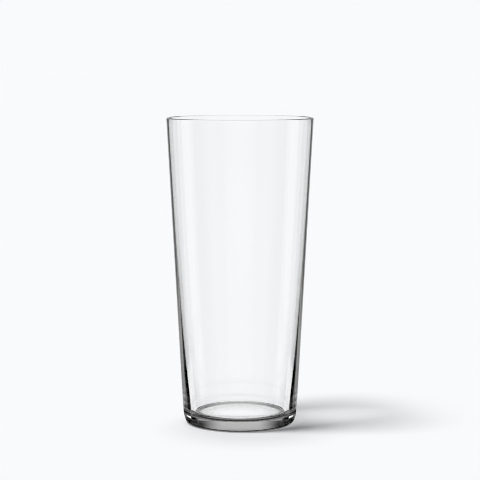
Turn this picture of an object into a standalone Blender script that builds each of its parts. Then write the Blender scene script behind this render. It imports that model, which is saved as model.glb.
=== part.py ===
"""Tall tapered drinking glass: one piece of clear moulded glass, turned about +Z.

Units are metres. The origin is on the glass's axis, in the plane of the ring that it stands on.
"""

import math

import bpy

MM = 0.001

# Driving dimensions
RIM_DIAMETER = 75.0 * MM
HEIGHT = 157.0 * MM
FOOT_DIAMETER = 58.0 * MM  # where the straight side, drawn on, would meet the table
HEEL_HEIGHT = 10.0 * MM  # the side turns in over this height, to meet the underside
HEEL_WIDTH = 3.0 * MM  # how far the side turns in
RING_INNER_DIAMETER = 44.0 * MM  # the flat standing ring runs from here out to the heel
PUNT_HEIGHT = 0.3 * MM  # slight hollow under the base, at its middle
FLOOR_HEIGHT = 5.0 * MM  # inside floor above the table
FLOOR_ROUND = 4.4 * MM  # corner between the floor and the inside wall

# The wall is thin at the lip and swells towards the base, as glass does in a mould
LIP_WALL = 0.95 * MM
BASE_SWELL = 3.5 * MM
SWELL_FADE = 40.0 * MM

# How finely the round shapes are divided
TURN_STEPS = 72
LIP_STEPS = 6
WALL_STEPS = 14
WALL_CROWDING = 1.4  # above 1, the wall's points crowd towards the base, where it curves most
ROUND_STEPS = 8
PUNT_STEPS = 4
MERGE_DISTANCE = 0.01 * MM

GLASS_COLOUR = (0.93, 0.95, 0.95, 1.0)
GLASS_ROUGHNESS = 0.02
GLASS_IOR = 1.52

RIM_RADIUS = RIM_DIAMETER / 2
FOOT_RADIUS = FOOT_DIAMETER / 2
SIDE_LEAN = math.atan2(RIM_RADIUS - FOOT_RADIUS, HEIGHT)


def outer_radius(height):
    """Radius of the straight outer side."""
    return FOOT_RADIUS + height * math.tan(SIDE_LEAN)


def wall_thickness(height):
    """Level thickness of the wall."""
    return LIP_WALL + BASE_SWELL * math.exp(-height / SWELL_FADE)


def inner_radius(height):
    return outer_radius(height) - wall_thickness(height)


def inner_lean(height):
    """Angle of the inside wall from upright."""
    swell_slope = BASE_SWELL / SWELL_FADE * math.exp(-height / SWELL_FADE)
    return math.atan(math.tan(SIDE_LEAN) + swell_slope)


def arc(centre, radius, start, end, steps):
    """Points (radius, height) along an arc, from one angle to another."""
    angles = [start + (end - start) * step / steps for step in range(steps + 1)]
    return [(centre[0] + radius * math.cos(a), centre[1] + radius * math.sin(a)) for a in angles]


def floor_corner():
    """Round corner from the inside floor up to the inside wall."""
    lean = inner_lean(FLOOR_HEIGHT + FLOOR_ROUND)
    top = FLOOR_HEIGHT + FLOOR_ROUND * (1 - math.sin(lean))
    centre = (inner_radius(top) - FLOOR_ROUND * math.cos(lean), FLOOR_HEIGHT + FLOOR_ROUND)
    return arc(centre, FLOOR_ROUND, -math.pi / 2, -lean, ROUND_STEPS)


def lip():
    """Full round from the inside wall over the rim to the outside."""
    radius = wall_thickness(HEIGHT) / 2 * math.cos(SIDE_LEAN)
    height = HEIGHT - radius
    centre = (outer_radius(height) - wall_thickness(HEIGHT) / 2, height)
    return arc(centre, radius, math.pi - SIDE_LEAN, -SIDE_LEAN, LIP_STEPS)


def heel():
    """Elliptical corner from the outer side down to the standing ring: a round one, narrowed."""
    narrowing = HEEL_WIDTH / HEEL_HEIGHT
    lean = math.atan(math.tan(SIDE_LEAN) / narrowing)
    centre_radius = outer_radius(HEEL_HEIGHT) / narrowing - HEEL_HEIGHT / math.cos(lean)
    corner = arc((centre_radius, HEEL_HEIGHT), HEEL_HEIGHT, -lean, -math.pi / 2, ROUND_STEPS)
    return [(radius * narrowing, height) for radius, height in corner]


def inside_wall(low, high):
    """Points on the inside wall between two heights, closer together near the base."""
    shares = [(step / WALL_STEPS) ** WALL_CROWDING for step in range(1, WALL_STEPS)]
    heights = [low + (high - low) * share for share in shares]
    return [(inner_radius(height), height) for height in heights]


def punt():
    """Shallow hollow under the base, from the standing ring to the axis."""
    edge = RING_INNER_DIAMETER / 2
    radii = [edge * (1 - step / PUNT_STEPS) for step in range(PUNT_STEPS + 1)]
    return [(radius, PUNT_HEIGHT * (1 - (radius / edge) ** 2)) for radius in radii]


def glass_profile():
    """Half section of the glass: from the floor's middle up the inside, over the lip and down."""
    corner, rim = floor_corner(), lip()
    wall = inside_wall(corner[-1][1], rim[0][1])
    return [(0.0, FLOOR_HEIGHT)] + corner + wall + rim + heel() + punt()


def clear_glass():
    material = bpy.data.materials.new("clear_glass")
    material.use_nodes = True
    shader = material.node_tree.nodes["Principled BSDF"]
    shader.inputs["Base Color"].default_value = GLASS_COLOUR
    shader.inputs["Roughness"].default_value = GLASS_ROUGHNESS
    shader.inputs["Metallic"].default_value = 0.0
    shader.inputs["IOR"].default_value = GLASS_IOR
    shader.inputs["Transmission Weight"].default_value = 1.0
    return material


def turned(name, profile, material):
    """Object made by turning a half section about +Z."""
    mesh = bpy.data.meshes.new(name)
    points = [(radius, 0.0, height) for radius, height in profile]
    edges = [(index, index + 1) for index in range(len(points) - 1)]
    mesh.from_pydata(points, edges, [])
    mesh.materials.append(material)
    piece = bpy.data.objects.new(name, mesh)
    bpy.context.scene.collection.objects.link(piece)
    screw = piece.modifiers.new("turn", "SCREW")
    screw.axis = "Z"
    screw.angle = 2 * math.pi
    screw.steps = TURN_STEPS
    screw.render_steps = TURN_STEPS
    screw.use_merge_vertices = True
    screw.merge_threshold = MERGE_DISTANCE
    screw.use_smooth_shade = True
    return piece


def main():
    for old in list(bpy.data.objects):
        bpy.data.objects.remove(old)
    turned("glass_body", glass_profile(), clear_glass())


main()
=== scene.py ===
"""Looks of the tall tapered drinking glass: a fine turned mesh, clear glass, studio light and the camera."""

import math

import bpy
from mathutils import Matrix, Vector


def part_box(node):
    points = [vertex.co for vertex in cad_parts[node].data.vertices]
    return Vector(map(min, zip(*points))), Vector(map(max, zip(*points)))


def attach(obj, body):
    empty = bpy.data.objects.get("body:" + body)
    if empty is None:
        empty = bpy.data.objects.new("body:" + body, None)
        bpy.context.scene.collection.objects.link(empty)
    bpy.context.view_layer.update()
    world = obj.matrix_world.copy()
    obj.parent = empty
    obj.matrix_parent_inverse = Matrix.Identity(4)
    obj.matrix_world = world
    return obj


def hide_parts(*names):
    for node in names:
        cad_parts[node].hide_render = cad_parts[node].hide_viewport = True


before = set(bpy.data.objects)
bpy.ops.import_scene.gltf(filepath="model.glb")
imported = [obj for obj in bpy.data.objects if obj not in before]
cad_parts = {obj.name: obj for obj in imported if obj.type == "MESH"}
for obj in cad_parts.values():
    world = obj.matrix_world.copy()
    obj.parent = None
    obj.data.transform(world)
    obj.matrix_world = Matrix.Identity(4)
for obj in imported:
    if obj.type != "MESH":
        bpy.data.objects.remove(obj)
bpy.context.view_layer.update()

MM = 0.001

# The glass, in metres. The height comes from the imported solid, the rest repeats its driving dimensions
NODE = "glass_body"
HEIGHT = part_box(NODE)[1].z
RIM_RADIUS = 37.5 * MM
FOOT_RADIUS = 29.0 * MM
HEEL_HEIGHT = 10.0 * MM
HEEL_WIDTH = 3.0 * MM
RING_INNER_RADIUS = 22.0 * MM
PUNT_HEIGHT = 0.3 * MM
FLOOR_HEIGHT = 5.0 * MM
FLOOR_ROUND = 4.4 * MM
LIP_WALL = 0.95 * MM
BASE_SWELL = 3.5 * MM
SWELL_FADE = 40.0 * MM
SIDE_LEAN = math.atan2(RIM_RADIUS - FOOT_RADIUS, HEIGHT)

# How finely the shapes are divided
TURN_STEPS = 360
LIP_STEPS = 16
WALL_STEPS = 60
ROUND_STEPS = 28
PUNT_STEPS = 24
FLAT_STEPS = 6

# The glass's finish
CLEAR = (1.0, 1.0, 1.0, 1.0)
GLASS_IOR = 1.52
RIPPLE_SIZE = 9.0 * MM
RIPPLE_DEPTH = 0.004 * MM
RIPPLE_DETAIL = 1.0
SCUFF_SIZE = 1.5 * MM
SCUFF_DETAIL = 3.0
SCUFF_TOP = 0.4 * MM
SCUFF_ROUGHNESS = 0.5
# The share of lamp light that a surface passes, and where that fades, from 0 face-on to 1 edge-on
SHADE_CLEAR = 0.96
SHADE_FADE = (0.45, 1.05)

# The camera of the photograph
CAMERA_PLACE = (0.0, -0.9015, 0.1886)
CAMERA_TILT = math.radians(90 - 5.969)
CAMERA_LENS = 132.74
CAMERA_SENSOR = 36.0

# How far light is followed through the glass, and the width in pixels over which the picture is smoothed
MOST_BOUNCES = 32
MOST_REFLECTIONS = 16
PIXEL_FILTER = 1.0

# The floor and the background are one pale colour. The lamps and the sky together light it at level 1
PALE = (0.947, 0.956, 0.973, 1.0)
BLACK = (0.0, 0.0, 0.0, 1.0)
FLOOR_DROP = 0.1 * MM
FLOOR_REACH = 20.0
# Painted contact shadow: a dark ring painted on the floor that shows through the glass where it stands
CONTACT_IN = 20.5 * MM
CONTACT_OUT = 25.0 * MM
CONTACT_SOFT = 1.5 * MM
CONTACT_SHADOW_DARK = 0.97
# Each lamp's share of the floor's light, and its elevation, the way it shines and its size in degrees
LAMPS = {
    "key": (0.65, 66, 19, 15),
    "top": (0.18, 83, -70, 12),
}
# The sky's share of the floor's light, and the elevation and softness of its lower edge in degrees
SKY_SHARE = 0.17
SKY_BOTTOM = 30
SKY_SOFT = 5

# A panel of light has an angle's low, high and soft edge, an elevation's, all in degrees, and its level.
# The angle runs to either side from 0 straight behind the glass. These values lie past all directions
BEHIND = -20
FRONT = 200
BELOW = -100
ABOVE = 100
# What reflections in the glass show
MIRRORED = [
    (BEHIND, 20, 2, -12, 3, 2, 0.7),
    (BEHIND, 20, 2, 3, 16, 2, 1.1),
    (BEHIND, 18, 2, -35, -12, 2, 1.0),
    (20, 30, 1, -9, 4, 1, 0.3),
    (20, 39, 1, -14, -9, 1, 0.6),
    (30, 57, 2, -9.5, 4, 2, 0.82),
    (57, 65, 1, -12, 5, 1, 0.6),
    (58, 76, 1, -18, -14, 1, 0.9),
    (65, 94, 1.5, -13.5, 5, 1.5, 1.2),
    (94, 122, 3, -17, 6, 3, 0.66),
    (122, 156, 6, -17, 6, 6, 0.95),
    (156, FRONT, 6, -17, 6, 6, 1.15),
    (76, FRONT, 3, -32, -16, 3, 0.6),
    (95, FRONT, 5, 6, 30, 5, 0.25),
    (BEHIND, FRONT, 5, 55, ABOVE, 5, 0.5),
]
# Where the outside of the glass reflects none of them
OUTSIDE_DARK = (BEHIND, 55, 5, BELOW, -12.8, 0.4, 1.0)
# What light that was thrown back inside the wall or the base shows
TRAPPED = [
    (45, 66, 1, -26, -18, 1, 1.0),
    (5, 28, 3, -21.5, -13, 1, 0.22),
    (51.5, 66, 0.5, 7.5, 10.5, 0.4, 1.35),
    (BEHIND, 24, 12, 10.5, 21, 1.5, 0.49),
    (BEHIND, 20, 4, 40, 62, 6, 0.3),
    (BEHIND, FRONT, 4, 62, ABOVE, 4, 0.6),
    (BEHIND, 38, 3, 6, 10.5, 0.6, 0.3),
    (62, FRONT, 8, BELOW, -27, 5, 0.2),
    (71, FRONT, 4, 5, 26, 4, 0.4),
    (20, FRONT, 8, 26, 62, 6, 0.25),
    (66, 95, 4, -27, -18, 2, 0.7),
]
# A ray that passed this many surfaces and leaves above this elevation counts as thrown back too
IN_AND_OUT = 2
UPWARD = 3.0
# Bounces are whole numbers, so this margin tells one from the next
HALF_BOUNCE = 0.5


def outer_radius(height):
    return FOOT_RADIUS + height * math.tan(SIDE_LEAN)


def wall_thickness(height):
    return LIP_WALL + BASE_SWELL * math.exp(-height / SWELL_FADE)


def inner_radius(height):
    return outer_radius(height) - wall_thickness(height)


def inner_lean(height):
    swell_slope = BASE_SWELL / SWELL_FADE * math.exp(-height / SWELL_FADE)
    return math.atan(math.tan(SIDE_LEAN) + swell_slope)


def arc(centre, radius, start, end, steps):
    angles = [start + (end - start) * step / steps for step in range(steps + 1)]
    return [(centre[0] + radius * math.cos(a), centre[1] + radius * math.sin(a)) for a in angles]


def floor_corner():
    lean = inner_lean(FLOOR_HEIGHT + FLOOR_ROUND)
    top = FLOOR_HEIGHT + FLOOR_ROUND * (1 - math.sin(lean))
    centre = (inner_radius(top) - FLOOR_ROUND * math.cos(lean), FLOOR_HEIGHT + FLOOR_ROUND)
    return arc(centre, FLOOR_ROUND, -math.pi / 2, -lean, ROUND_STEPS)


def lip():
    radius = wall_thickness(HEIGHT) / 2 * math.cos(SIDE_LEAN)
    height = HEIGHT - radius
    centre = (outer_radius(height) - wall_thickness(HEIGHT) / 2, height)
    return arc(centre, radius, math.pi - SIDE_LEAN, -SIDE_LEAN, LIP_STEPS)


def heel():
    """A round corner, narrowed to an elliptical one."""
    narrowing = HEEL_WIDTH / HEEL_HEIGHT
    lean = math.atan(math.tan(SIDE_LEAN) / narrowing)
    centre_radius = outer_radius(HEEL_HEIGHT) / narrowing - HEEL_HEIGHT / math.cos(lean)
    corner = arc((centre_radius, HEEL_HEIGHT), HEEL_HEIGHT, -lean, -math.pi / 2, ROUND_STEPS)
    return [(radius * narrowing, height) for radius, height in corner]


def between(first, last, steps):
    """Points on a straight line, without its ends."""
    shares = [step / steps for step in range(1, steps)]
    return [tuple(a + (b - a) * share for a, b in zip(first, last)) for share in shares]


def inside_wall(low, high):
    heights = [low + (high - low) * step / WALL_STEPS for step in range(1, WALL_STEPS)]
    return [(inner_radius(height), height) for height in heights]


def punt():
    """Shallow hollow under the base, without its middle."""
    radii = [RING_INNER_RADIUS * (1 - step / PUNT_STEPS) for step in range(PUNT_STEPS)]
    return [(radius, PUNT_HEIGHT * (1 - (radius / RING_INNER_RADIUS) ** 2)) for radius in radii]


def glass_profile():
    """Half section from the inside floor up, over the lip and down to the underside, without its middles."""
    corner, rim, foot, hollow = floor_corner(), lip(), heel(), punt()
    floor = between((0.0, FLOOR_HEIGHT), corner[0], FLAT_STEPS)
    wall = inside_wall(corner[-1][1], rim[0][1])
    side = between(rim[-1], foot[0], WALL_STEPS)
    ring = between(foot[-1], hollow[0], FLAT_STEPS)
    return floor + corner + wall + rim + side + foot + ring + hollow


def turned(name, profile, top, bottom):
    """Mesh object made by turning a half section about +Z, closed at the axis by two middle points."""
    points = []
    for step in range(TURN_STEPS):
        turn = 2 * math.pi * step / TURN_STEPS
        points += [(radius * math.cos(turn), radius * math.sin(turn), height) for radius, height in profile]
    count = len(profile)
    middle_top, middle_bottom = len(points), len(points) + 1
    points += [(0.0, 0.0, top), (0.0, 0.0, bottom)]
    faces = []
    for step in range(TURN_STEPS):
        here, after = step * count, (step + 1) % TURN_STEPS * count
        faces.append((middle_top, here, after))
        for index in range(count - 1):
            faces.append((here + index, here + index + 1, after + index + 1, after + index))
        faces.append((here + count - 1, middle_bottom, after + count - 1))
    mesh = bpy.data.meshes.new(name)
    mesh.from_pydata(points, [], faces)
    mesh.shade_smooth()
    piece = bpy.data.objects.new(name, mesh)
    bpy.context.scene.collection.objects.link(piece)
    return piece


class Tree:
    """Short ways to add and link shader nodes."""

    def __init__(self, tree):
        self.tree = tree

    def node(self, kind, **settings):
        made = self.tree.nodes.new(kind)
        for name, value in settings.items():
            setattr(made, name, value)
        return made

    def link(self, source, target):
        if isinstance(source, (int, float, tuple)):
            target.default_value = source
        else:
            self.tree.links.new(source, target)

    def feed(self, made, *sources):
        """Sets or links a node's first inputs."""
        for source, target in zip(sources, made.inputs):
            self.link(source, target)
        return made.outputs

    def math(self, operation, *values):
        return self.feed(self.node("ShaderNodeMath", operation=operation), *values)[0]

    def none(self, bounces):
        """1 where there were no bounces, or else 0."""
        return self.math("LESS_THAN", bounces, HALF_BOUNCE)

    def some(self, bounces):
        """1 where there were bounces, or else 0."""
        return self.math("GREATER_THAN", bounces, HALF_BOUNCE)

    def split(self, vector):
        return self.feed(self.node("ShaderNodeSeparateXYZ"), vector)

    def ramp(self, value, low, high, first, last):
        """Goes smoothly from first at low to last at high."""
        made = self.node("ShaderNodeMapRange", interpolation_type="SMOOTHSTEP")
        return self.feed(made, value, low, high, first, last)[0]

    def noise(self, place, size, detail):
        made = self.node("ShaderNodeTexNoise")
        self.link(place, made.inputs["Vector"])
        made.inputs["Scale"].default_value = 1 / size
        made.inputs["Detail"].default_value = detail
        return made.outputs["Fac"]

    def mix(self, share, first, second):
        """Colour that goes from the first colour to the second."""
        return self.feed(self.node("ShaderNodeMixRGB"), share, first, second)[0]

    def blend(self, share, first, second):
        """Shader that goes from the first shader to the second."""
        made = self.node("ShaderNodeMixShader")
        self.feed(made, share, first.outputs[0], second.outputs[0])
        return made


def letting_lamps_through(tree, shader):
    """The shader, but lamp light goes straight through it, less where the surface turns away."""
    turned_away = tree.node("ShaderNodeLayerWeight").outputs["Facing"]
    passed = tree.node("ShaderNodeBsdfTransparent")
    tree.link(tree.ramp(turned_away, *SHADE_FADE, SHADE_CLEAR, 0.0), passed.inputs["Color"])
    lamp_ray = tree.node("ShaderNodeLightPath").outputs["Is Shadow Ray"]
    return tree.blend(lamp_ray, shader, passed)


def clear_glass():
    """Polished clear glass with a faint moulding ripple and a scuffed underside."""
    material = bpy.data.materials.new("clear_glass")
    material.use_nodes = True
    nodes = material.node_tree.nodes
    tree = Tree(material.node_tree)
    shader = nodes["Principled BSDF"]
    shader.inputs["Base Color"].default_value = CLEAR
    shader.inputs["IOR"].default_value = GLASS_IOR
    shader.inputs["Transmission Weight"].default_value = 1.0
    place = tree.node("ShaderNodeTexCoord").outputs["Object"]
    height = tree.split(place)["Z"]

    scuffed = tree.ramp(height, 0.0, SCUFF_TOP, SCUFF_ROUGHNESS, 0.0)
    scuffs = tree.noise(place, SCUFF_SIZE, SCUFF_DETAIL)
    tree.link(tree.math("MULTIPLY", scuffed, scuffs), shader.inputs["Roughness"])

    ripple = tree.node("ShaderNodeBump")
    ripple.inputs["Distance"].default_value = RIPPLE_DEPTH
    tree.link(tree.noise(place, RIPPLE_SIZE, RIPPLE_DETAIL), ripple.inputs["Height"])
    tree.link(ripple.outputs["Normal"], shader.inputs["Normal"])

    surface = letting_lamps_through(tree, shader)
    tree.link(surface.outputs[0], nodes["Material Output"].inputs["Surface"])
    return material


def window(tree, value, low, high, soft):
    """1 between two values and 0 outside them, with soft edges."""
    rise = tree.ramp(value, low - soft, low + soft, 0.0, 1.0)
    fall = tree.ramp(value, high - soft, high + soft, 1.0, 0.0)
    return tree.math("MULTIPLY", rise, fall)


def panorama(tree, angle, elevation, panels):
    """Light level of all the panels together, in one direction."""
    level = 0.0
    for low, high, side_soft, bottom, top, end_soft, light in panels:
        across = window(tree, angle, low, high, side_soft)
        upright = window(tree, elevation, bottom, top, end_soft)
        level = tree.math("ADD", level, tree.math("MULTIPLY", tree.math("MULTIPLY", across, upright), light))
    return level


def sky_panel():
    """Panel all round, from the sky's lower edge up, that gives a level floor its share of light."""
    level = SKY_SHARE / math.cos(math.radians(SKY_BOTTOM)) ** 2
    return BEHIND, FRONT, SKY_SOFT, SKY_BOTTOM, ABOVE, SKY_SOFT, level


def heading(tree):
    """Angle and elevation of a direction, as the panels have them."""
    towards = tree.split(tree.node("ShaderNodeTexCoord").outputs["Generated"])
    angle = tree.math("ABSOLUTE", tree.math("ARCTAN2", towards["X"], towards["Y"]))
    return tree.math("DEGREES", angle), tree.math("DEGREES", tree.math("ARCSINE", towards["Z"]))


def studio_colour(tree):
    """The pale background, the panels where the glass throws a ray back, and the sky for the floor."""
    path = tree.node("ShaderNodeLightPath").outputs
    angle, elevation = heading(tree)
    dark = panorama(tree, angle, elevation, [OUTSIDE_DARK])
    dark = tree.math("MULTIPLY", dark, tree.none(path["Transmission Depth"]))
    mirrored = tree.mix(dark, panorama(tree, angle, elevation, MIRRORED), BLACK)
    trapped = panorama(tree, angle, elevation, TRAPPED)
    sky = panorama(tree, angle, elevation, [sky_panel()])

    in_and_out = tree.math("COMPARE", path["Transmission Depth"], IN_AND_OUT, HALF_BOUNCE)
    upward = tree.math("MULTIPLY", in_and_out, tree.math("GREATER_THAN", elevation, UPWARD))
    turned_back = tree.math("MAXIMUM", tree.some(path["Glossy Depth"]), upward)
    by_glass = tree.math("MAXIMUM", path["Is Reflection Ray"], path["Is Transmission Ray"])
    by_glass = tree.math("MULTIPLY", by_glass, tree.none(path["Diffuse Depth"]))
    bounced = tree.math("MULTIPLY", by_glass, turned_back)
    straight = tree.math("MULTIPLY", by_glass, tree.math("SUBTRACT", 1.0, turned_back))
    straight = tree.math("MAXIMUM", straight, path["Is Camera Ray"])

    colour = tree.mix(bounced, sky, tree.mix(in_and_out, mirrored, trapped))
    return tree.mix(straight, colour, PALE)


def studio_world():
    world = bpy.data.worlds.new("studio")
    bpy.context.scene.world = world
    world.use_nodes = True
    world.node_tree.nodes.clear()
    tree = Tree(world.node_tree)
    background = tree.node("ShaderNodeBackground")
    tree.link(studio_colour(tree), background.inputs["Color"])
    out = tree.node("ShaderNodeOutputWorld")
    tree.link(background.outputs[0], out.inputs["Surface"])


def painted_contact_shadow(tree):
    """Painted contact shadow: a dark ring on the floor where the glass stands, shown through the glass."""
    place = tree.split(tree.node("ShaderNodeTexCoord").outputs["Object"])
    squares = [tree.math("MULTIPLY", place[axis], place[axis]) for axis in ("X", "Y")]
    radius = tree.math("SQRT", tree.math("ADD", *squares))
    return tree.math("MULTIPLY", window(tree, radius, CONTACT_IN, CONTACT_OUT, CONTACT_SOFT), CONTACT_SHADOW_DARK)


def floor_material():
    """Takes shadows, shows its plain colour with a painted dark contact ring through the glass and stays out
    of reflections.
    """
    material = bpy.data.materials.new("pale_floor")
    material.use_nodes = True
    material.node_tree.nodes.clear()
    tree = Tree(material.node_tree)
    diffuse = tree.node("ShaderNodeBsdfDiffuse")
    diffuse.inputs["Color"].default_value = PALE
    through = tree.node("ShaderNodeEmission")
    # Painted shade: through the glass the floor glows its plain colour, darkened by the painted
    # contact-shadow ring
    tree.link(tree.mix(painted_contact_shadow(tree), PALE, BLACK), through.inputs["Color"])
    clear = tree.node("ShaderNodeBsdfTransparent")
    path = tree.node("ShaderNodeLightPath").outputs
    seen = tree.math("MULTIPLY", path["Is Transmission Ray"], tree.none(path["Diffuse Depth"]))
    pale = tree.blend(seen, diffuse, through)
    both = tree.blend(tree.some(path["Glossy Depth"]), pale, clear)
    out = tree.node("ShaderNodeOutputMaterial")
    tree.link(both.outputs[0], out.inputs["Surface"])
    return material


def pale_floor():
    mesh = bpy.data.meshes.new("floor")
    sides = ((-1, -1), (1, -1), (1, 1), (-1, 1))
    corners = [(x * FLOOR_REACH, y * FLOOR_REACH, -FLOOR_DROP) for x, y in sides]
    mesh.from_pydata(corners, [], [(0, 1, 2, 3)])
    floor = bpy.data.objects.new("floor", mesh)
    bpy.context.scene.collection.objects.link(floor)
    floor.data.materials.append(floor_material())


def lamp(name, share, elevation, turn, size):
    """Distant lamp that shines down and along +X, turned about +Z."""
    data = bpy.data.lights.new(name, "SUN")
    data.energy = share * math.pi / math.sin(math.radians(elevation))
    data.angle = math.radians(size)
    made = bpy.data.objects.new(name, data)
    made.rotation_euler = (0.0, math.radians(elevation - 90), math.radians(turn))
    made.visible_glossy = False
    made.visible_transmission = False
    bpy.context.scene.collection.objects.link(made)


def photograph_camera():
    data = bpy.data.cameras.new("camera")
    data.lens = CAMERA_LENS
    data.sensor_width = CAMERA_SENSOR
    camera = bpy.data.objects.new("camera", data)
    camera.location = CAMERA_PLACE
    camera.rotation_euler = (CAMERA_TILT, 0.0, 0.0)
    bpy.context.scene.collection.objects.link(camera)
    bpy.context.scene.camera = camera


def tumbler():
    glass = turned("tumbler", glass_profile(), FLOOR_HEIGHT, PUNT_HEIGHT)
    glass.data.materials.append(clear_glass())
    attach(glass, "root")
    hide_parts(NODE)


def render_settings():
    scene = bpy.context.scene
    scene.view_settings.view_transform = "Standard"
    scene.cycles.max_bounces = MOST_BOUNCES
    scene.cycles.transmission_bounces = MOST_BOUNCES
    scene.cycles.glossy_bounces = MOST_REFLECTIONS
    scene.cycles.blur_glossy = 0.0
    scene.cycles.filter_width = PIXEL_FILTER


photograph_camera()
tumbler()
pale_floor()
studio_world()
for name, settings in LAMPS.items():
    lamp(name, *settings)
render_settings()
